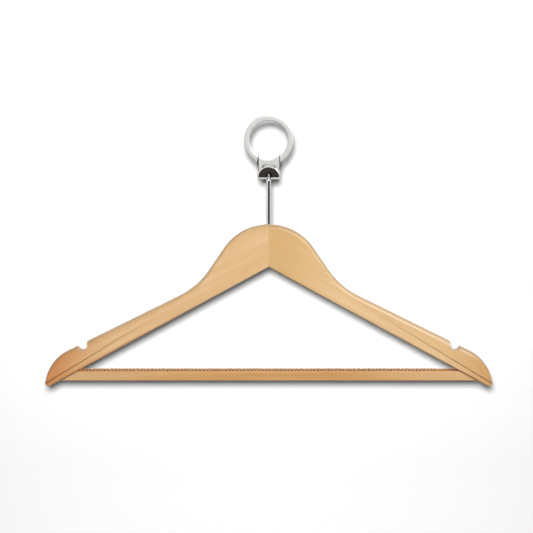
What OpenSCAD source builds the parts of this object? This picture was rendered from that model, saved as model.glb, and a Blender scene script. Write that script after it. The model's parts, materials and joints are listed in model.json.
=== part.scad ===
// Anti-theft clothes hanger. A metal ring stays on the rail; a ball pin slides into its
// socket from the front and carries a wooden shoulder frame with a ribbed trouser bar.
// Origin: centre of the ring. +Z up, X along the shoulders, the front faces -Y.

/* [Rail ring] */
// Inside diameter of the ring
ring_bore = 37; // [32:0.5:50]
// Width of the band around the bore
ring_band = 5.5; // [4:0.1:8]
// Thickness of the ring, front to back
ring_t = 4; // [3:0.5:6]
// Radius of the flare between the ring and its neck
flare_r = 12; // [8:1:18]
// Height of metal between the bore and the window
web_h = 4.8; // [4:0.1:8]
// Height of the window at the centre line
window_h = 2.2; // [1.5:0.1:5]
// Width of the window along its top edge
window_w = 11.2; // [8:0.2:14]
// How far each side of the window spreads towards its lower end
window_spread = 1.8; // [0:0.1:3]
// How far the window's lower corners reach below the top of the hood
window_skirt = 1.6; // [0.8:0.1:2.4]

/* [Socket] */
// Radius of the half-round socket
socket_r = 9.4; // [8:0.1:13]
// Wall of the hood around the socket
hood_wall = 1; // [0.8:0.1:2]
// Depth of the hood, front to back
hood_depth = 11; // [9:0.5:16]
// Thickness of the plate under the pin's ball
plate_t = 1.8; // [1.4:0.1:3]
// Thickness of the liner's lip, which stands in front of the hood
lip_t = 0.8; // [0.5:0.1:1.5]
// How far the lip covers the hood's rim
lip_cover = 0.7; // [0.2:0.1:0.8]
// Distance of the lip's face behind the plate's front edge
liner_recess = 0.2; // [0.1:0.1:1]

/* [Ball pin] */
// Diameter of the ball head
ball_d = 5.4; // [4.8:0.1:7]
// Diameter of the neck that passes the plate
neck_d = 3.4; // [2.6:0.1:4]
// Diameter of the shank
shank_d = 4.4; // [3.6:0.1:6]
// Length of pin that shows between the plate and the wood
pin_show = 44.6; // [30:0.2:70]
// Wood left between the pin's lower end and the underside of the shoulders
pin_floor = 8; // [4:0.1:20]
// Pitch of the rings around the pin's lower end
barb_pitch = 2.4; // [1.6:0.1:4]
// Depth of those rings
barb_depth = 0.5; // [0.3:0.1:0.8]

/* [Shoulders] */
// Nominal width of the hanger, tip to tip
span = 446; // [380:1:520]
// Thickness of the wood
wood_t = 12; // [10:0.5:20]
// Height of the wood at the centre seam
hump_h = 41.3; // [38:0.1:60]
// Radius of the hump around the pin
hump_r = 52.8; // [45:1:66]
// Slope of the flanks of the hump
flank_angle = 55.8; // [45:0.2:65]
// Slope of the top of the shoulders
shoulder_angle = 26.6; // [20:0.2:32]
// How much steeper the underside is than the top, so that the arms grow deeper outwards
arm_taper = 2.3; // [0:0.1:4]
// Upright height of an arm, measured where its straight edges would meet the centre line
arm_h = 14.4; // [12:0.2:24]
// Radius of the hollow between the hump and the shoulder
hollow_r = 77; // [50:1:110]
// Radius of the rounded shoulder end
end_r = 41.4; // [34:0.2:50]
// Radius of the tip
tip_r = 3; // [2:0.5:5]

/* [Strap notches] */
// Distance of a notch from the tip of its shoulder
notch_inset = 38; // [30:0.1:60]
// Width of a notch
notch_w = 10; // [7:0.2:14]
// Depth of a notch below the shoulder line
notch_depth = 7; // [4:0.2:10]

/* [Centre joint] */
// Wood of the tongue on each side of the pin's shank
tongue_wall = 0.8; // [0.5:0.1:1.6]
// Length of the tongue beyond the seam
tongue_l = 14; // [8:1:20]

/* [Trouser bar] */
// Height of the bar's underside above the tips of the shoulders
bar_lift = 5.9; // [3:0.1:30]
// Height of the bar
bar_h = 9.8; // [9:0.5:16]
// Set-back of the bar's faces behind the faces of the shoulders
bar_inset = 0.5; // [0:0.1:1.5]
// Width of the groove and of the grip strip in it
groove_w = 7; // [4:0.2:8]
// Depth of the groove
groove_depth = 1.6; // [1:0.1:3]
// Length of groove left open at the right end
groove_open = 22; // [0:1:60]
// Distance between the ribs of the grip strip
rib_pitch = 3.65; // [2.5:0.05:6]
// Radius of the ribs
rib_r = 1; // [0.6:0.1:1.2]
// Diameter of the dowels
dowel_d = 5; // [5:0.5:8]
// Length of a dowel on each side of its joint
dowel_half = 12; // [8:0.5:14]

/* [Clearances] */
// Play between the pin's ball or neck and what they slide past
socket_play = 0.2; // [0.1:0.05:0.4]
// Play between the plate's slot and the neck, on each side
slot_play = 0.3; // [0.2:0.05:0.5]
// Gap between the plate and the pin's shoulder below it
shoulder_gap = 0.3; // [0.2:0.05:0.6]
// Running clearance of the shank in the wood
shank_play = 0.05; // [0.02:0.01:0.1]

/* [Hidden] */
$fn = 64;
over = 1; // how far a cutter reaches past what it cuts

// Ring and socket heights, from the ring's centre down
bore_r = ring_bore / 2;
ring_r = bore_r + ring_band;
hood_r = socket_r + hood_wall;
window_z = -bore_r - web_h;
socket_z = window_z - window_h - hood_r;
plate_z = socket_z - plate_t;
flare_x = hood_r + flare_r;
flare_z = -sqrt(pow(ring_r + flare_r, 2) - pow(flare_x, 2));
hood_front = -hood_depth / 2 + liner_recess + lip_t;
liner_back = hood_depth / 2 - hood_wall;

// Pin heights; the ball sits just above the edges of the slot
ball_r = ball_d / 2;
slot_w = neck_d + 2 * slot_play;
ball_z = socket_z + sqrt(pow(ball_r + socket_play, 2) - pow(slot_w / 2, 2));
shank_r = shank_d / 2;
shank_z = plate_z - shoulder_gap;
wood_z = plate_z - pin_show;
pin_end_z = wood_z - hump_h + pin_floor;
pin_grip = wood_z - pin_end_z;
bore_play_r = shank_r + shank_play;
barb_share = 0.6; // share of the buried length that is ringed
barb_count = floor(pin_grip * barb_share / barb_pitch);

// Shoulder lines: z falls by slope * x from the height at the centre line
apex_z = wood_z - hump_h;
under_angle = shoulder_angle + arm_taper;
under_slope = tan(under_angle);
top_slope = tan(shoulder_angle);
top_z0 = apex_z + arm_h;
function under_z(x) = apex_z - under_slope * x;
function under_x(z) = (apex_z - z) / under_slope;
function top_z(x) = top_z0 - top_slope * x;

tongue_t = shank_d + 2 * tongue_wall;

// Hump arc, flank and hollow
hump_z = wood_z - hump_r;
flank_x = hump_r * sin(flank_angle);
flank_z = hump_z + hump_r * cos(flank_angle);
flank_slope = tan(flank_angle);
valley_x = (flank_z + flank_slope * flank_x - top_z0) / (flank_slope - top_slope);
hollow_turn = tan((flank_angle - shoulder_angle) / 2);
hollow_fit = min(hollow_r, (valley_x - flank_x) / cos(flank_angle) / hollow_turn);
hollow_end_x = valley_x + hollow_fit * hollow_turn * cos(shoulder_angle);
hollow_x = hollow_end_x + hollow_fit * sin(shoulder_angle);
hollow_z = top_z(hollow_end_x) + hollow_fit * cos(shoulder_angle);

// Shoulder end: one large arc, with the small circle of the tip inside it and on the underside
half_span = span / 2;
notch_x = half_span - notch_inset;
end_x = half_span - end_r;
end_z = top_z(end_x) - end_r / cos(shoulder_angle);
end_depth = tip_r - (end_z - under_z(end_x)) * cos(under_angle);
end_reach = sqrt(pow(end_r - tip_r, 2) - pow(end_depth, 2));
tip_x = end_x + end_reach * cos(under_angle) + end_depth * sin(under_angle);
tip_z = end_z - end_reach * sin(under_angle) + end_depth * cos(under_angle);
end_angle = atan2(tip_z - end_z, tip_x - end_x);

// Trouser bar
bar_t = wood_t - 2 * bar_inset;
bar_low_z = tip_z - tip_r + bar_lift;
bar_z = bar_low_z + bar_h;
bar_top_x = under_x(bar_z);
dowel_z = (bar_z - groove_depth + bar_low_z) / 2;
dowel_x = under_x(dowel_z);
strip_end_x = bar_top_x - groove_open;
rib_start_x = -bar_top_x + 2 * rib_r / under_slope;
rib_count = floor((strip_end_x - rib_r - rib_start_x) / rib_pitch);

// Points on an arc from angle a to angle b, in degrees from +X
function arc(x, z, r, a, b, steps) =
    [for (i = [0:steps]) [x + r * cos(a + (b - a) * i / steps), z + r * sin(a + (b - a) * i / steps)]];

// Stands an outline drawn in X and Z upright, centred on the plane y = 0
module upright(depth) {
    rotate([90, 0, 0]) linear_extrude(depth, center = true) children();
}

// Stands an outline upright between two depths, y0 nearer the front
module upright_between(y0, y1) {
    translate([0, (y0 + y1) / 2, 0]) upright(y1 - y0) children();
}

// ---- Ring casting ----

module hood_outline(r) {
    intersection() {
        translate([0, socket_z]) circle(r);
        translate([-r, socket_z]) square([2 * r, r]);
    }
}

module flare_outline() {
    difference() {
        polygon([[0, 0], [flare_x, flare_z], [-flare_x, flare_z]]);
        for (side = [-1, 1]) translate([side * flare_x, flare_z]) circle(flare_r);
    }
}

module window_outline() {
    low_z = window_z - window_h - window_skirt;
    low_x = window_w / 2 + window_spread;
    difference() {
        polygon([[-window_w / 2, window_z], [window_w / 2, window_z], [low_x, low_z], [-low_x, low_z]]);
        translate([0, socket_z]) circle(hood_r);
    }
}

module slot_cutter() {
    translate([0, 0, plate_z - over]) {
        cylinder(h = plate_t + 2 * over, d = slot_w);
        translate([-slot_w / 2, -hood_depth / 2 - over, 0])
            cube([slot_w, hood_depth / 2 + over, plate_t + 2 * over]);
    }
}

module security_ring() {
    color([0.80, 0.80, 0.77]) difference() {
        union() {
            upright(ring_t) difference() {
                union() {
                    circle(ring_r);
                    flare_outline();
                    translate([-hood_r, plate_z]) square([2 * hood_r, flare_z - plate_z]);
                }
                circle(bore_r);
                window_outline();
            }
            upright_between(hood_front, hood_depth / 2) hood_outline(hood_r);
            translate([-hood_r, -hood_depth / 2, plate_z]) cube([2 * hood_r, hood_depth, plate_t]);
        }
        upright_between(-hood_depth / 2 - over, liner_back) hood_outline(socket_r);
        slot_cutter();
    }
}

// ---- Liner with the pocket that the ball slides along ----

module socket_liner() {
    pocket_r = ball_r + socket_play;
    color([0.10, 0.09, 0.09]) difference() {
        union() {
            upright_between(hood_front - lip_t, hood_front) hood_outline(socket_r + lip_cover);
            upright_between(hood_front, liner_back) hood_outline(socket_r);
        }
        translate([0, 0, ball_z]) {
            sphere(pocket_r);
            rotate([90, 0, 0]) cylinder(h = hood_depth, r = pocket_r);
        }
    }
}

// ---- Ball pin, turned about the Z axis ----

function barb_profile() = [for (i = [0:barb_count - 1]) each [
    [shank_r, pin_end_z + shank_r + (barb_count - i) * barb_pitch],
    [shank_r - barb_depth, pin_end_z + shank_r + (barb_count - i - 0.7) * barb_pitch]]];

module ball_pin() {
    neck_r = neck_d / 2;
    cone_h = shank_r - neck_r + 0.4;
    color([0.85, 0.86, 0.88]) union() {
        translate([0, 0, ball_z]) sphere(ball_r);
        rotate_extrude() polygon(concat(
            [[0, ball_z], [neck_r, ball_z], [neck_r, shank_z], [shank_r, shank_z - cone_h]],
            barb_profile(),
            [[shank_r, pin_end_z + shank_r], [shank_r / 3, pin_end_z], [0, pin_end_z]]));
    }
}

// ---- Wooden shoulders, joined by a tongue that also holds the pin ----

// Right-hand outline, from the centre seam out along the top and back along the underside
module arm_outline() {
    difference() {
        polygon(concat(
            arc(0, hump_z, hump_r, 90, 90 - flank_angle, 14),
            arc(hollow_x, hollow_z, hollow_fit, 270 - flank_angle, 270 - shoulder_angle, 10),
            arc(end_x, end_z, end_r, 90 - shoulder_angle, end_angle, 16),
            arc(tip_x, tip_z, tip_r, end_angle, -90 - under_angle, 8),
            [[0, apex_z]]));
        notch_outline();
    }
}

module notch_outline() {
    floor_z = top_z(notch_x) - notch_depth + notch_w / 2;
    translate([notch_x, floor_z]) circle(notch_w / 2);
    translate([notch_x - notch_w / 2, floor_z]) square([notch_w, notch_w]);
}

// The tongue reaches across the seam into the left shoulder
module tongue_outline() {
    intersection() {
        mirror([1, 0]) arm_outline();
        translate([-tongue_l, apex_z - tongue_l]) square([tongue_l, hump_h + 2 * tongue_l]);
    }
}

module dowel(side) {
    translate([side * dowel_x, 0, dowel_z]) rotate([0, 90, 0])
        cylinder(h = 2 * dowel_half, d = dowel_d, center = true);
}

module pin_bore() {
    translate([0, 0, pin_end_z - shank_play]) cylinder(h = pin_grip + shank_play + over, r = bore_play_r);
}

module left_shoulder() {
    color([0.88, 0.69, 0.46]) difference() {
        mirror([1, 0, 0]) upright(wood_t) arm_outline();
        upright(tongue_t) tongue_outline();
        dowel(-1);
    }
}

module right_shoulder() {
    color([0.86, 0.68, 0.45]) difference() {
        union() {
            upright(wood_t) arm_outline();
            upright(tongue_t) tongue_outline();
        }
        pin_bore();
        dowel(1);
    }
}

// ---- Trouser bar, strip and dowels ----

module trouser_bar() {
    color([0.80, 0.60, 0.36]) difference() {
        upright(bar_t) polygon([
            [-bar_top_x, bar_z], [bar_top_x, bar_z],
            [under_x(bar_low_z), bar_low_z], [-under_x(bar_low_z), bar_low_z]]);
        translate([-half_span, -groove_w / 2, bar_z - groove_depth])
            cube([span, groove_w, groove_depth + over]);
        dowel(-1);
        dowel(1);
    }
}

module grip_strip() {
    color([0.72, 0.55, 0.38]) upright(groove_w) union() {
        translate([-bar_top_x, bar_z - groove_depth]) square([bar_top_x + strip_end_x, groove_depth]);
        for (i = [0:rib_count]) translate([rib_start_x + i * rib_pitch, bar_z]) circle(rib_r);
    }
}

module left_bar_dowel() { color([0.82, 0.70, 0.52]) dowel(-1); }
module right_bar_dowel() { color([0.82, 0.70, 0.52]) dowel(1); }

security_ring();
socket_liner();
ball_pin();
left_shoulder();
right_shoulder();
trouser_bar();
grip_strip();
left_bar_dowel();
right_bar_dowel();
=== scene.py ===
# The looks of an anti-theft clothes hanger: two rounded wooden arms, a grooved trouser bar with its
# ribbed strip, a chromed ball pin and a satin nickel ring with a black socket.
# Metres throughout, in the part's own frame: origin at the ring's centre, +Z up, the front faces -Y.
import json
import math

import bpy
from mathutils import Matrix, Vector


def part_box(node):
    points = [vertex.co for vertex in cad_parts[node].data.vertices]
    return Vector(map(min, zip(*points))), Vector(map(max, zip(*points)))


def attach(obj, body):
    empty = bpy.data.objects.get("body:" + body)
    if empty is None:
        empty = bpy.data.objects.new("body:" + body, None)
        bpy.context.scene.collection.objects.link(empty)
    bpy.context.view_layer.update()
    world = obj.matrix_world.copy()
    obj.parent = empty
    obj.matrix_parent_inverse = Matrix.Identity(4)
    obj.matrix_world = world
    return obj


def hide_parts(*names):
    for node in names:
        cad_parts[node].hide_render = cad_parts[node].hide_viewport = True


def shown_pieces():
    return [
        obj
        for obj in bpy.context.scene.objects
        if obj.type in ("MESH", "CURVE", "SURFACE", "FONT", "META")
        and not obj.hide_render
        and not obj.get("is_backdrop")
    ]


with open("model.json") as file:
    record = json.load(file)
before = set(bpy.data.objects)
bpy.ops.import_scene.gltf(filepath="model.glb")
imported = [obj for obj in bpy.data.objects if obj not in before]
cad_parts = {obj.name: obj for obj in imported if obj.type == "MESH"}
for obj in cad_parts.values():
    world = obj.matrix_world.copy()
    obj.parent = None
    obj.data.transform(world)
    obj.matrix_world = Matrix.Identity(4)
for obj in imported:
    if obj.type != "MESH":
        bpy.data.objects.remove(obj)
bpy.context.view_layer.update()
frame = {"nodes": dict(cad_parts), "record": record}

MM = 0.001
NODES = frame["nodes"]
RECORD = frame["record"]


# ---- Sizes and places, partly worked out from the parts ----

def opening(name):
    """Lowest and highest corner of one of the record's openings."""
    boxes = {o["name"]: o["box_m"] for o in RECORD["physics"]["openings"]}
    return Vector(boxes[name][0]), Vector(boxes[name][1])


ring_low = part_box("security_ring")[0]
pin_low, pin_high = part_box("ball_pin")
arm_low, arm_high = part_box("right_shoulder")
bar_low, bar_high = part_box("trouser_bar")
strip_low, strip_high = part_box("grip_strip")

WOOD_FRONT, WOOD_BACK = arm_low.y, arm_high.y
BAR_TOP_X = -strip_low.x
STRIP_W = strip_high.y - strip_low.y
BALL_R = pin_high.x
BALL_Z = pin_high.z - BALL_R
PLATE_Z = ring_low.z
WOOD_TOP = arm_high.z

TOP_ROUND = 4.4 * MM      # roundover along the top of the arms
UNDER_ROUND = 1.8 * MM    # smaller one along their underside
BAR_ROUND = 1.3 * MM
BAND_ROUND = 1.1 * MM     # around the ring's band
EDGE_ROUND = 0.45 * MM    # on the rest of the casting
WINDOW_Z = -23.3 * MM     # top edge of the casting's window
WINDOW_X = 7.9 * MM       # half of its width
NOTCH_R = 5 * MM
TONGUE_L = 14 * MM
TONGUE_T = 6 * MM
GLUE_LINE = 0.05 * MM     # gap around the tongue
RIB_R = 1 * MM
RIB_PITCH = 3.65 * MM
SHANK_R = 2.2 * MM
NECK_R = 1.7 * MM
SHANK_PLAY = 0.05 * MM    # gap around the pin in its bore
THREAD_PITCH = 2.4 * MM   # of the rings around the pin's buried end
THREAD_DEPTH = 0.5 * MM
DOWEL_R = 2.5 * MM
DOWEL_FLUTES = 16
FLUTE_DEPTH = 0.15 * MM
APEX_Z = -123.6 * MM      # underside of the wood at the seam
UNDER_SLOPE = math.tan(math.radians(28.9))
PAST = 5 * MM             # how far a cutter runs on past the wood


# ---- Workshop helpers ----

def take(piece):
    """Deselects everything, then selects one piece and makes it the active one."""
    bpy.ops.object.select_all(action="DESELECT")
    piece.select_set(True)
    bpy.context.view_layer.objects.active = piece
    return piece


def edit(piece, mode):
    """Opens a piece in edit mode with nothing selected; mode is VERT, EDGE or FACE."""
    take(piece)
    bpy.ops.object.mode_set(mode="EDIT")
    bpy.ops.mesh.select_mode(type=mode)
    bpy.ops.mesh.select_all(action="DESELECT")


def done():
    bpy.ops.object.mode_set(mode="OBJECT")


def pick_faces(piece, wanted):
    """Selects the faces for which wanted(centre, normal) is true, in edit mode."""
    bpy.ops.object.mode_set(mode="OBJECT")
    for face in piece.data.polygons:
        face.select = wanted(face.center, face.normal)
    bpy.ops.object.mode_set(mode="EDIT")


def pick_edges(piece, wanted):
    """Selects the edges for which wanted(one end, other end) is true, in edit mode."""
    bpy.ops.object.mode_set(mode="OBJECT")
    points = piece.data.vertices
    for edge in piece.data.edges:
        a, b = edge.vertices
        edge.select = wanted(points[a].co, points[b].co)
    bpy.ops.object.mode_set(mode="EDIT")


def pick_points(piece, wanted):
    """Selects the vertices for which wanted(place) is true, in edit mode."""
    bpy.ops.object.mode_set(mode="OBJECT")
    for point in piece.data.vertices:
        point.select = wanted(point.co)
    bpy.ops.object.mode_set(mode="EDIT")


def outwards(piece):
    """Turns every face of a closed piece outwards."""
    edit(piece, "FACE")
    bpy.ops.mesh.select_all(action="SELECT")
    bpy.ops.mesh.normals_make_consistent(inside=False)
    done()


def machine(piece, kind, **settings):
    """Adds a modifier, sets it up and applies it."""
    take(piece)
    bpy.ops.object.modifier_add(type=kind)
    modifier = piece.modifiers[-1]
    for setting, value in settings.items():
        setattr(modifier, setting, value)
    bpy.ops.object.modifier_apply(modifier=modifier.name)


def cut(piece, cutter, operation="DIFFERENCE"):
    """Cuts or joins a piece with another shape, which is used up."""
    machine(piece, "BOOLEAN", object=cutter, operation=operation, solver="EXACT")
    bpy.data.objects.remove(cutter)


def fix_place(piece):
    """Moves the piece's place and size into its mesh."""
    take(piece)
    bpy.ops.object.transform_apply(location=True, rotation=True, scale=True)


def box_shape(name, low, high):
    """A block between two corners, the start of a piece or a cutter."""
    low, high = Vector(low), Vector(high)
    bpy.ops.object.select_all(action="DESELECT")
    bpy.ops.mesh.primitive_cube_add(size=1, location=(low + high) / 2)
    block = bpy.context.object
    block.name = name
    block.scale = high - low
    fix_place(block)
    return block


def rod_shape(name, radius, start, end, sides=48):
    """A round rod between two points, the start of a piece or a cutter."""
    start, end = Vector(start), Vector(end)
    bpy.ops.object.select_all(action="DESELECT")
    turn = (end - start).to_track_quat("Z", "Y").to_euler()
    bpy.ops.mesh.primitive_cylinder_add(
        vertices=sides, radius=radius, depth=(end - start).length, location=(start + end) / 2, rotation=turn)
    rod = bpy.context.object
    rod.name = name
    fix_place(rod)
    return rod


def twin(piece, name):
    """A copy of a piece with its own mesh."""
    copy = piece.copy()
    copy.data = piece.data.copy()
    copy.name = name
    bpy.context.collection.objects.link(copy)
    return copy


def copy_of_part(node, name):
    """A new piece with a part's shape: its doubled points merged and its flat faces made whole."""
    piece = bpy.data.objects.new(name, NODES[node].data.copy())
    bpy.context.collection.objects.link(piece)
    take(piece)
    if piece.data.has_custom_normals:
        bpy.ops.mesh.customdata_custom_splitnormals_clear()
    edit(piece, "VERT")
    bpy.ops.mesh.select_all(action="SELECT")
    bpy.ops.mesh.remove_doubles(threshold=0.01 * MM)
    bpy.ops.mesh.dissolve_limited(angle_limit=math.radians(0.4))
    done()
    return piece


def polish(piece, angle=32):
    """Smooth shading over the roundings, with the flat faces kept flat."""
    take(piece)
    bpy.ops.object.shade_smooth_by_angle(angle=math.radians(angle))
    machine(piece, "WEIGHTED_NORMAL", keep_sharp=True)


def hang(piece, body, slot, finish, *nodes):
    """Gives a finished piece its finish and its body, and hides the parts that it stands for."""
    piece.data.materials.clear()
    piece.data.materials.append(finish)
    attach(piece, body)
    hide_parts(*nodes)
    return piece


# ---- Finishes ----

HUB_HONEY = (0.62, 0.36, 0.12)
# Painted shade colour for the arms' underside edge
UNDERSIDE_SHADE_ORANGE = (0.52, 0.20, 0.04)
# Painted shade colour for the joint at the bar's ends, under the arms
JOINT_SHADE_BROWN = (0.12, 0.035, 0.012)


class Recipe:
    """A new material's node tree, with short calls to fill it."""

    def __init__(self, name):
        self.material = bpy.data.materials.new(name)
        self.material.use_nodes = True
        self.tree = self.material.node_tree
        self.shader = self.tree.nodes["Principled BSDF"]
        self.object_place = self.add("TexCoord").outputs["Object"]

    def add(self, kind, **settings):
        """Adds a shader node of a kind."""
        new = self.tree.nodes.new("ShaderNode" + kind)
        for setting, value in settings.items():
            setattr(new, setting, value)
        return new

    def join(self, source, target):
        self.tree.links.new(source, target)

    def grain_place(self, size, turn=0):
        """Object coordinates measured in grains of a size in millimetres, turned about Y."""
        mapping = self.add("Mapping", vector_type="TEXTURE")
        mapping.inputs["Rotation"].default_value = (0, math.radians(turn), 0)
        mapping.inputs["Scale"].default_value = [length * MM for length in size]
        self.join(self.object_place, mapping.inputs["Vector"])
        return mapping.outputs["Vector"]

    def noise(self, size, turn=0, detail=3, roughness=0.5, distortion=0.0):
        """Cloudy noise whose clouds have about that size in millimetres."""
        noise = self.add("TexNoise")
        for socket, value in (("Scale", 1), ("Detail", detail), ("Roughness", roughness),
                              ("Distortion", distortion)):
            noise.inputs[socket].default_value = value
        self.join(self.grain_place(size, turn), noise.inputs["Vector"])
        return noise.outputs["Fac"]

    def fade(self, source, low, high, to_low=0.0, to_high=1.0, smooth=True):
        """Maps low..high of the source to to_low..to_high, clamped."""
        fade = self.add("MapRange", interpolation_type="SMOOTHSTEP" if smooth else "LINEAR")
        for socket, value in (("From Min", low), ("From Max", high), ("To Min", to_low), ("To Max", to_high)):
            fade.inputs[socket].default_value = value
        self.join(source, fade.inputs["Value"])
        return fade.outputs["Result"]

    def math(self, operation, a, b=None):
        """Works out one sum of sockets or numbers."""
        calc = self.add("Math", operation=operation)
        for socket, value in zip(calc.inputs, (a, b)):
            if value is None:
                continue
            if isinstance(value, (int, float)):
                socket.default_value = value
            else:
                self.join(value, socket)
        return calc.outputs["Value"]

    def blend(self, amount, a, b, how="MIX"):
        """Mixes two colours, each a colour or a socket."""
        mix = self.add("Mix", data_type="RGBA", blend_type=how)
        for socket, value in ((mix.inputs[0], amount), (mix.inputs[6], a), (mix.inputs[7], b)):
            if isinstance(value, bpy.types.NodeSocket):
                self.join(value, socket)
            elif isinstance(value, (int, float)):
                socket.default_value = value
            else:
                socket.default_value = (*value, 1)
        return mix.outputs[2]

    def relief(self, height, strength, distance):
        bump = self.add("Bump")
        bump.inputs["Strength"].default_value = strength
        bump.inputs["Distance"].default_value = distance
        self.join(height, bump.inputs["Height"])
        return bump.outputs["Normal"]

    def set(self, **values):
        """Sets the shader's inputs, each to a value or a socket."""
        for socket, value in values.items():
            socket = self.shader.inputs[socket.replace("_", " ")]
            if isinstance(value, bpy.types.NodeSocket):
                self.join(value, socket)
            else:
                socket.default_value = value
        return self.material


def wood(name, turn, pale, honey, streak, warm, warm_from, warm_to, hub=0.0, underside_shade=0.0, joint_shade=0.0):
    """Clear-lacquered light wood, its grain turned about Y.

    It grows warmer outwards, and by hub towards the seam; edging paints shade along the arms' underside and
    mitre paints shade in the joint on the bar's ends, under the arms.
    """
    r = Recipe(name)
    figure = r.noise((170, 7, 7), turn, detail=4, roughness=0.55, distortion=0.4)
    fibre = r.noise((38, 0.8, 0.8), turn, detail=3, roughness=0.6)
    pores = r.noise((5, 0.5, 0.5), turn, detail=1)
    cloud = r.noise((60, 24, 24), turn, detail=2)

    tone = r.blend(r.fade(figure, 0.3, 0.72), pale, honey)
    tone = r.blend(r.fade(fibre, 0.55, 0.85, 0, 0.42), tone, streak)
    tone = r.blend(r.fade(cloud, 0.35, 0.75, 0, 0.35), tone, honey)
    tone = r.blend(r.fade(pores, 0.66, 0.80, 0, 0.5), tone, streak)

    split = r.add("SeparateXYZ")
    r.join(r.object_place, split.inputs["Vector"])
    reach = r.math("ABSOLUTE", split.outputs["X"])
    tone = r.blend(r.fade(reach, warm_from, warm_to, 0, 0.9), tone, warm)
    tone = r.blend(r.fade(reach, 10 * MM, 75 * MM, hub, 0), tone, HUB_HONEY)
    below = r.math("MULTIPLY", reach, UNDER_SLOPE)
    depth = r.math("ADD", split.outputs["Z"], r.math("ADD", below, -APEX_Z))
    # Painted shade: a darker orange along the underside edge of the arms, stronger towards the tips
    edge = r.fade(depth, 0.6 * MM, 3.2 * MM, underside_shade, 0)
    tone = r.blend(r.math("MULTIPLY", edge, r.fade(reach, 40 * MM, 130 * MM, 0.25, 1)), tone, UNDERSIDE_SHADE_ORANGE)

    relief = r.math("SUBTRACT", fibre, r.fade(pores, 0.64, 0.80, 0, 1.5))
    # Painted shade: a dark line on the bar's ends where they meet the arms' underside
    tone = r.blend(r.fade(depth, -1.5 * MM, -0.3 * MM, 0, joint_shade), tone, JOINT_SHADE_BROWN)
    return r.set(Base_Color=tone,
                 Roughness=r.fade(fibre, 0.2, 0.8, 0.36, 0.5),
                 Normal=r.relief(relief, 0.12, 0.2 * MM),
                 Coat_Weight=0.35, Coat_Roughness=0.18, Coat_IOR=1.5)


def satin_nickel():
    r = Recipe("satin_nickel")
    grain = r.noise((1.1, 1.1, 1.1), detail=4, roughness=0.65)
    cast = r.noise((8, 8, 8), detail=3)
    tone = r.blend(r.fade(cast, 0.3, 0.7), (0.68, 0.68, 0.655), (0.74, 0.74, 0.715))
    return r.set(Base_Color=tone, Metallic=1.0,
                 Roughness=r.fade(grain, 0.25, 0.75, 0.34, 0.46),
                 Normal=r.relief(grain, 0.10, 0.05 * MM))


def bright_chrome():
    r = Recipe("bright_chrome")
    drawn = r.noise((0.8, 0.8, 25), detail=2)
    tone = r.blend(r.fade(drawn, 0.3, 0.7), (0.78, 0.79, 0.80), (0.84, 0.845, 0.855))
    return r.set(Base_Color=tone, Metallic=1.0,
                 Roughness=r.fade(drawn, 0.25, 0.75, 0.08, 0.16),
                 Normal=r.relief(drawn, 0.06, 0.03 * MM))


def black_nylon():
    r = Recipe("black_nylon")
    grain = r.noise((0.7, 0.7, 0.7), detail=3)
    tone = r.blend(r.fade(grain, 0.3, 0.7), (0.012, 0.008, 0.006), (0.022, 0.015, 0.011))
    return r.set(Base_Color=tone, Roughness=r.fade(grain, 0.3, 0.7, 0.5, 0.64),
                 Specular_IOR_Level=0.3, Normal=r.relief(grain, 0.15, 0.05 * MM))


def ribbed_pvc():
    """Cream ribs over a dark brown that is painted shade between them, told apart by height."""
    r = Recipe("ribbed_pvc")
    split = r.add("SeparateXYZ")
    r.join(r.object_place, split.inputs["Vector"])
    rib = r.fade(split.outputs["Z"], bar_high.z - 0.02 * MM, bar_high.z + 0.4 * MM)
    cloud = r.noise((3, 3, 3), detail=3)
    # Painted shade: the dark brown shown between the ribs
    base = r.blend(cloud, (0.20, 0.07, 0.02), (0.28, 0.11, 0.04))
    tone = r.blend(rib, base, (0.78, 0.40, 0.11))
    return r.set(Base_Color=tone, Roughness=r.fade(cloud, 0.3, 0.7, 0.40, 0.52), Specular_IOR_Level=0.25,
                 Normal=r.relief(cloud, 0.08, 0.05 * MM))


# ---- Wooden arms ----

def arm_blank(node, name):
    """An arm as sawn and rounded over, before its notch and its joints are cut, and its notch's place."""
    blank = copy_of_part(node, name)
    edit(blank, "FACE")
    pick_faces(blank, lambda centre, normal: not (normal.y < -0.99 and centre.y < WOOD_FRONT + 0.1 * MM))
    bpy.ops.mesh.delete(type="FACE")
    done()

    # The notch is filled in: of its points only the two at its lips stay
    side = "left" if node.startswith("left") else "right"
    low, high = opening(f"strap_notch_{side}")
    notch_x = (low.x + high.x) / 2
    notch = [p for p in blank.data.vertices if abs(p.co.x - notch_x) < NOTCH_R + 0.2 * MM]
    lips = [max((p.co for p in notch if (p.co.x > notch_x) == beyond), key=lambda co: co.z).copy()
            for beyond in (False, True)]
    inner = [p.co.copy() for p in notch if all((p.co - lip).length > 0.05 * MM for lip in lips)]
    floor_z = min(place.z for place in inner)
    edit(blank, "VERT")
    pick_points(blank, lambda co: any((co - place).length < 0.01 * MM for place in inner))
    bpy.ops.mesh.dissolve_verts()

    bpy.ops.mesh.select_all(action="SELECT")
    thickness = WOOD_BACK - WOOD_FRONT
    bpy.ops.mesh.extrude_region_move(TRANSFORM_OT_translate={"value": (0, thickness, 0)})
    done()
    outwards(blank)
    round_over(blank)
    return blank, Vector((notch_x, 0, floor_z + NOTCH_R))


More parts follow.
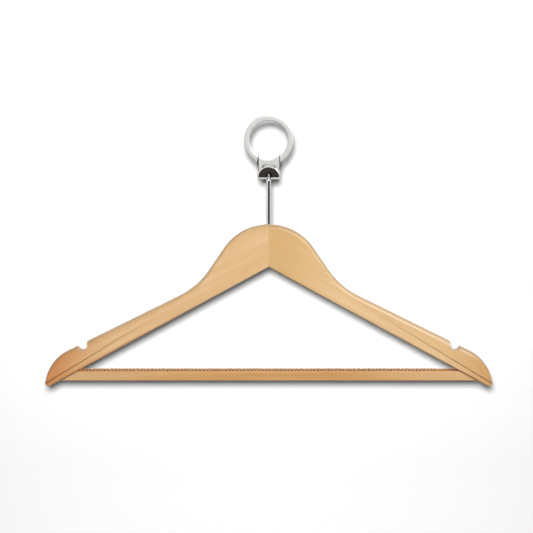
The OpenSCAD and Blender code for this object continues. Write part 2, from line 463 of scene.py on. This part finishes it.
def round_over(blank):
    """Rounds the rims: wide along the top, narrow underneath, fading over the shoulder's end."""
    mesh = blank.data
    tilt = {}
    for face in mesh.polygons:
        if abs(face.normal.y) < 0.5:
            for key in face.edge_keys:
                tilt[key] = face.normal
    weight = mesh.attributes.new("bevel_weight_edge", "FLOAT", "EDGE")
    narrow = UNDER_ROUND / TOP_ROUND
    for edge in mesh.edges:
        a, b = (mesh.vertices[i].co for i in edge.vertices)
        out = tilt.get(edge.key)
        if abs(a.y - b.y) > 0.1 * MM or out is None or abs(out.x) > 0.999:
            continue
        share = min(max((out.z - 0.2) / 0.6, 0), 1)
        weight.data[edge.index].value = narrow + (1 - narrow) * share
    machine(blank, "BEVEL", width=TOP_ROUND, segments=6, limit_method="WEIGHT", use_clamp_overlap=False)


def notch_cutter(place):
    """A U-shaped cutter: a round floor with straight walls going up."""
    reach = Vector((0, 20 * MM, 0))
    cutter = rod_shape("notch_cutter", NOTCH_R, place - reach, place + reach, 64)
    edit(cutter, "FACE")
    bpy.ops.mesh.select_all(action="SELECT")
    bpy.ops.mesh.bisect(plane_co=place, plane_no=(0, 0, 1), use_fill=True, clear_outer=True)
    done()
    edit(cutter, "FACE")
    pick_faces(cutter, lambda centre, normal: normal.z > 0.99)
    bpy.ops.mesh.extrude_region_move(TRANSFORM_OT_translate={"value": (0, 0, 20 * MM)})
    done()
    outwards(cutter)
    return cutter


def dowel_ends(side):
    """Middles of a dowel's two end faces."""
    low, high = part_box(f"{side}_bar_dowel")
    middle = (low + high) / 2
    return Vector((low.x, middle.y, middle.z)), Vector((high.x, middle.y, middle.z))


def dowel_hole(side):
    return rod_shape("dowel_hole", DOWEL_R, *dowel_ends(side))


def tongue_block(half):
    """A block around the tongue, as wide as half to each side, a little past the seam."""
    return box_shape("tongue_block", (-TONGUE_L, -half, arm_low.z), (1 * MM, half, WOOD_TOP + PAST))


def make_arms():
    left, left_notch = arm_blank("left_shoulder", "left_arm")
    right, right_notch = arm_blank("right_shoulder", "right_arm")

    tongue = twin(left, "tongue")
    cut(tongue, tongue_block(TONGUE_T / 2), "INTERSECT")
    tongue.location.x = GLUE_LINE
    fix_place(tongue)
    cut(left, tongue_block(TONGUE_T / 2 + GLUE_LINE))
    cut(right, tongue, "UNION")
    bore_foot = (0, 0, pin_low.z - SHANK_PLAY)
    cut(right, rod_shape("bore", SHANK_R + SHANK_PLAY, bore_foot, (0, 0, WOOD_TOP + PAST)))

    for arm, place, side in ((left, left_notch, "left"), (right, right_notch, "right")):
        cut(arm, notch_cutter(place))
        cut(arm, dowel_hole(side))
        polish(arm)
    return left, right


# ---- Trouser bar, its strip and its dowels ----

def make_bar():
    bar = box_shape("bar", bar_low, bar_high)
    edit(bar, "VERT")
    for side in (-1, 1):
        pick_points(bar, lambda co: co.z > bar_low.z + MM and co.x * side > 0)
        bpy.ops.transform.translate(value=(side * (BAR_TOP_X - bar_high.x), 0, 0))
    bpy.ops.mesh.select_mode(type="EDGE")
    pick_edges(bar, lambda a, b: abs(a.x - b.x) > 100 * MM)
    bpy.ops.mesh.bevel(offset=BAR_ROUND, segments=5, affect="EDGES")
    done()

    half = STRIP_W / 2
    cut(bar, box_shape("groove", (bar_low.x, -half, strip_low.z), (bar_high.x, half, bar_high.z + PAST)))
    edit(bar, "EDGE")
    pick_edges(bar, lambda a, b: abs(a.x - b.x) > 100 * MM and abs(abs(a.y) - half) < 0.05 * MM
               and a.z > bar_high.z - 0.05 * MM)
    bpy.ops.mesh.bevel(offset=0.25 * MM, segments=2, affect="EDGES")
    done()
    for side in ("left", "right"):
        cut(bar, dowel_hole(side))
    polish(bar)
    return bar


def make_strip():
    """A flat base laid in the groove, with half-round ribs across it."""
    slack = 0.06 * MM
    strip = box_shape("strip", (strip_low.x, strip_low.y + slack, strip_low.z),
                      (strip_high.x, strip_high.y - slack, bar_high.z - 0.1 * MM))
    edit(strip, "EDGE")
    pick_edges(strip, lambda a, b: abs(a.x - b.x) > 100 * MM and a.z > strip_low.z + 0.5 * MM)
    bpy.ops.mesh.bevel(offset=0.3 * MM, segments=2, affect="EDGES")
    done()

    bar_slope = (bar_high.z - bar_low.z) / (bar_high.x - BAR_TOP_X)
    first = strip_low.x + 2 * RIB_R / bar_slope
    base_z = bar_high.z - 0.3 * MM
    rib_front = (first, strip_low.y + slack, bar_high.z)
    rib_back = (first, strip_high.y - slack, bar_high.z)
    rib = rod_shape("rib", RIB_R, rib_front, rib_back, 16)
    edit(rib, "FACE")
    bpy.ops.mesh.select_all(action="SELECT")
    bpy.ops.mesh.bisect(plane_co=(first, 0, base_z), plane_no=(0, 0, 1), use_fill=True, clear_inner=True)
    done()
    edit(rib, "EDGE")
    pick_edges(rib, lambda a, b: abs(a.y - b.y) < 0.01 * MM and max(a.z, b.z) > base_z + 0.05 * MM)
    bpy.ops.mesh.bevel(offset=0.22 * MM, segments=2, affect="EDGES")
    done()
    count = int((strip_high.x - RIB_R - first) / RIB_PITCH) + 1
    machine(rib, "ARRAY", count=count, use_relative_offset=False, use_constant_offset=True,
            constant_offset_displace=(RIB_PITCH, 0, 0))
    take(strip)
    rib.select_set(True)
    bpy.ops.object.join()
    take(strip)
    bpy.ops.object.shade_smooth_by_angle(angle=math.radians(40))
    return strip


def make_dowel(side):
    """A beech dowel with straight flutes."""
    start, end = dowel_ends(side)
    points_per_flute = 4
    sides = points_per_flute * DOWEL_FLUTES
    dowel = rod_shape(f"{side}_dowel", DOWEL_R, start, end, sides)
    edit(dowel, "VERT")

    def in_flute(co):
        turn = math.atan2(co.y - start.y, co.z - start.z) / (2 * math.pi)
        return round(turn * sides) % points_per_flute == 0

    pick_points(dowel, in_flute)
    narrower = 1 - FLUTE_DEPTH / DOWEL_R
    bpy.ops.transform.resize(value=(1, narrower, narrower), center_override=(start + end) / 2)
    bpy.ops.mesh.select_mode(type="FACE")
    pick_faces(dowel, lambda centre, normal: abs(normal.x) > 0.9)
    bpy.ops.mesh.inset(thickness=0.5 * MM)
    done()
    return dowel


# ---- Ball pin ----

def make_pin():
    """The pin's half outline, spun around the upright axis."""
    shank_top = PLATE_Z - 0.3 * MM
    cone_low = shank_top - (SHANK_R - NECK_R) - 0.4 * MM
    corner = 0.1 * MM
    steps = 14
    neck_turn = math.asin(NECK_R / BALL_R)
    outline = [(BALL_R * math.sin(a), BALL_Z + BALL_R * math.cos(a))
               for a in [(math.pi - neck_turn) * i / steps for i in range(steps + 1)]]
    outline[0] = (0, pin_high.z)
    outline += [(NECK_R, shank_top), (SHANK_R - corner, cone_low + corner), (SHANK_R, cone_low - corner)]
    end_z = pin_low.z
    foot = end_z + SHANK_R
    rings = int((WOOD_TOP - end_z) * 0.6 / THREAD_PITCH)
    for i in range(rings, 0, -1):
        outline.append((SHANK_R, foot + i * THREAD_PITCH))
        outline.append((SHANK_R - THREAD_DEPTH, foot + (i - 0.7) * THREAD_PITCH))
    outline += [(SHANK_R, foot), (SHANK_R / 3, end_z), (0, end_z)]

    bpy.ops.object.select_all(action="DESELECT")
    bpy.ops.mesh.primitive_plane_add(size=1 * MM, location=(0, 0, 0))
    pin = bpy.context.object
    pin.name = "pin"
    edit(pin, "VERT")
    pick_points(pin, lambda co: not (co.x > 0 and co.y > 0))
    bpy.ops.mesh.delete(type="VERT")
    bpy.ops.mesh.select_all(action="SELECT")
    here = Vector((0.5 * MM, 0.5 * MM, 0))
    first = Vector((outline[0][0], 0, outline[0][1]))
    bpy.ops.transform.translate(value=first - here)
    here = first
    for x, z in outline[1:]:
        there = Vector((x, 0, z))
        bpy.ops.mesh.extrude_region_move(TRANSFORM_OT_translate={"value": there - here})
        here = there
    bpy.ops.mesh.select_all(action="SELECT")
    bpy.ops.mesh.spin(steps=48, angle=2 * math.pi, center=(0, 0, 0), axis=(0, 0, 1))
    bpy.ops.mesh.select_all(action="SELECT")
    bpy.ops.mesh.remove_doubles(threshold=0.002 * MM)
    done()
    outwards(pin)
    polish(pin, 35)
    return pin


# ---- Ring and socket liner ----

def make_ring():
    """The casting, its band well rounded and its hood and window only broken at the edges."""
    ring = copy_of_part("security_ring", "ring")
    mesh = ring.data
    normals = {}
    for face in mesh.polygons:
        for key in face.edge_keys:
            normals.setdefault(key, []).append(face.normal)
    weight = mesh.attributes.new("bevel_weight_edge", "FLOAT", "EDGE")
    narrow = EDGE_ROUND / BAND_ROUND
    for edge in mesh.edges:
        sides = normals[edge.key]
        if sides[0].angle(sides[1]) < math.radians(40):
            continue
        a, b = (mesh.vertices[i].co for i in edge.vertices)
        middle = (a + b) / 2
        share = min(max((middle.z - WINDOW_Z) / (4 * MM) + 0.6, 0), 1)
        if abs(middle.x) < WINDOW_X and middle.z < WINDOW_Z + MM:
            share = 0
        weight.data[edge.index].value = narrow + (1 - narrow) * share
    machine(ring, "BEVEL", width=BAND_ROUND, segments=4, limit_method="WEIGHT", use_clamp_overlap=False)
    polish(ring)
    return ring


def make_liner():
    liner = copy_of_part("socket_liner", "liner")
    machine(liner, "BEVEL", width=0.2 * MM, segments=2, limit_method="ANGLE", angle_limit=math.radians(40))
    polish(liner)
    return liner


left_wood = wood("left_wood", -27, (0.78, 0.52, 0.27), (0.70, 0.42, 0.18), (0.52, 0.26, 0.10),
                 (0.58, 0.19, 0.02), 150 * MM, 230 * MM, 0.12, 0.7)
right_wood = wood("right_wood", 27, (0.79, 0.54, 0.29), (0.71, 0.45, 0.19), (0.54, 0.30, 0.11),
                  (0.58, 0.29, 0.075), 165 * MM, 230 * MM, 0.75, 0.35)
bar_wood = wood("bar_wood", 0, (0.69, 0.39, 0.13), (0.56, 0.27, 0.065), (0.44, 0.19, 0.05),
                (0.67, 0.39, 0.17), 60 * MM, 190 * MM, joint_shade=0.85)
dowel_beech = wood("dowel_beech", 0, (0.66, 0.45, 0.27), (0.58, 0.37, 0.20), (0.45, 0.26, 0.12),
                   (0.60, 0.38, 0.20), 150 * MM, 230 * MM)

left_arm, right_arm = make_arms()
hang(left_arm, "frame", "left_wood", left_wood, "left_shoulder")
hang(right_arm, "frame", "right_wood", right_wood, "right_shoulder")
hang(make_bar(), "frame", "bar_wood", bar_wood, "trouser_bar")
hang(make_strip(), "frame", "strip_pvc", ribbed_pvc(), "grip_strip")
for which in ("left", "right"):
    hang(make_dowel(which), "frame", "dowel_beech", dowel_beech, f"{which}_bar_dowel")
hang(make_pin(), "pin", "pin_chrome", bright_chrome(), "ball_pin")
hang(make_ring(), "ring", "ring_metal", satin_nickel(), "security_ring")
hang(make_liner(), "ring", "liner_nylon", black_nylon(), "socket_liner")


# ---- Backdrop, lights and camera ----

def make_stage():
    """A pale floor that sweeps up into a wall behind the hanger; the wall isn't seen from behind."""
    wall_y, floor_z, sweep = 0.26, -0.62, 0.2
    bpy.ops.object.select_all(action="DESELECT")
    bpy.ops.mesh.primitive_plane_add(size=1, location=(0, 0, 0))
    stage = bpy.context.object
    stage.name = "stage"
    stage.scale = (5, 3, 1)
    stage.location = (0, wall_y - sweep - 1.5, floor_z)
    fix_place(stage)
    edit(stage, "EDGE")
    pick_edges(stage, lambda a, b: min(a.y, b.y) > wall_y - sweep - 0.01)
    bend = (0, wall_y - sweep, floor_z + sweep)
    bpy.ops.mesh.spin(steps=16, angle=math.radians(-90), center=bend, axis=(1, 0, 0))
    bpy.ops.mesh.extrude_region_move(TRANSFORM_OT_translate={"value": (0, 0, 1.6)})
    bpy.ops.mesh.select_all(action="SELECT")
    bpy.ops.mesh.remove_doubles(threshold=1 * MM)
    done()
    take(stage)
    bpy.ops.object.shade_smooth()
    stage.visible_glossy = False
    stage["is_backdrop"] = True

    r = Recipe("pale_paper")
    split = r.add("SeparateXYZ")
    r.join(r.object_place, split.inputs["Vector"])
    # The floor in front of the hanger glows evenly; the wall behind it only takes the lamps' light
    glow = r.fade(split.outputs["Y"], -1.2, -0.3, 0.8, 0, smooth=False)
    r.set(Base_Color=(0.3, 0.3, 0.3, 1), Roughness=0.9, Specular_IOR_Level=0.1,
          Emission_Color=(1, 1, 1, 1), Emission_Strength=glow)
    clear = r.add("BsdfTransparent")
    choose = r.add("MixShader")
    r.join(r.add("NewGeometry").outputs["Backfacing"], choose.inputs["Fac"])
    r.join(r.shader.outputs["BSDF"], choose.inputs[1])
    r.join(clear.outputs["BSDF"], choose.inputs[2])
    r.join(choose.outputs["Shader"], r.tree.nodes["Material Output"].inputs["Surface"])
    stage.data.materials.append(r.material)
    return stage


def make_lamp(name, place, size, watts, lights, shines=False):
    """A round soft lamp that lights only one collection; it shows in reflections if it shines."""
    aim = (0, 0, -0.14)
    bpy.ops.object.light_add(type="AREA", location=place)
    lamp = bpy.context.object
    lamp.name = name
    lamp.data.shape = "DISK"
    lamp.data.size = size
    lamp.data.energy = watts
    lamp.rotation_euler = (Vector(aim) - Vector(place)).to_track_quat("-Z", "Y").to_euler()
    lamp.visible_glossy = shines
    lamp.light_linking.receiver_collection = lights
    return lamp


def group(name, members):
    collection = bpy.data.collections.new(name)
    for member in members:
        collection.objects.link(member)
    return collection


def make_camera():
    """Straight on from the front, slightly above the middle of the hanger."""
    place = Vector((-2.2 * MM, -1.2, 0.09))
    aim = Vector((-2.2 * MM, 0, -0.12406))
    bpy.ops.object.camera_add(location=place, rotation=(aim - place).to_track_quat("-Z", "Y").to_euler())
    camera = bpy.context.object
    camera.data.sensor_width = 36
    camera.data.lens = 83.75
    bpy.context.scene.camera = camera


def make_dark_card():
    """A dark card in front of the pin, seen only in reflections, for the dark line along the chrome."""
    bpy.ops.object.select_all(action="DESELECT")
    bpy.ops.mesh.primitive_plane_add(size=1, location=(0.009, -0.03, -0.0645))
    card = bpy.context.object
    card.name = "dark_card"
    card.rotation_euler = (math.radians(90), 0, 0)
    card.scale = (0.066, 0.046, 1)
    fix_place(card)
    card.visible_camera = False
    card.visible_diffuse = False
    card.visible_shadow = False
    r = Recipe("black_card")
    card.data.materials.append(r.set(Base_Color=(0.01, 0.01, 0.01, 1), Roughness=0.9))
    card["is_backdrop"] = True
    return card


def make_world():
    """A white room that shows in reflections: bright above, greyer below."""
    world = bpy.data.worlds.new("studio")
    bpy.context.scene.world = world
    world.use_nodes = True
    tree = world.node_tree
    split = tree.nodes.new("ShaderNodeSeparateXYZ")
    ramp = tree.nodes.new("ShaderNodeMapRange")
    tree.links.new(tree.nodes.new("ShaderNodeTexCoord").outputs["Generated"], split.inputs["Vector"])
    tree.links.new(split.outputs["Z"], ramp.inputs["Value"])
    tree.links.new(ramp.outputs["Result"], tree.nodes["Background"].inputs["Strength"])
    for socket, value in (("From Min", -0.8), ("From Max", 0.1), ("To Min", 0.45), ("To Max", 0.9)):
        ramp.inputs[socket].default_value = value
    tree.nodes["Background"].inputs["Color"].default_value = (1, 1, 1, 1)
    world.cycles_visibility.diffuse = False


stage = make_stage()
make_dark_card()
on_stage = group("lit_stage", [stage])
on_hanger = group("lit_hanger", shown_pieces())
make_lamp("backdrop_lamp", (-0.009, -1.22, 0.125), 0.05, 77, on_stage)
make_lamp("front_softbox", (0.25, -1.5, 0.3), 1.2, 8.8, on_hanger)
make_lamp("top_softbox", (0.3, -0.95, 0.85), 0.6, 8.8, on_hanger, shines=True)
gloss = make_lamp("gloss_softbox", (0.85, -0.85, 0.62), 0.9, 10, on_hanger, shines=True)
gloss.visible_diffuse = False
make_world()
make_camera()
bpy.context.scene.view_settings.view_transform = "Standard"
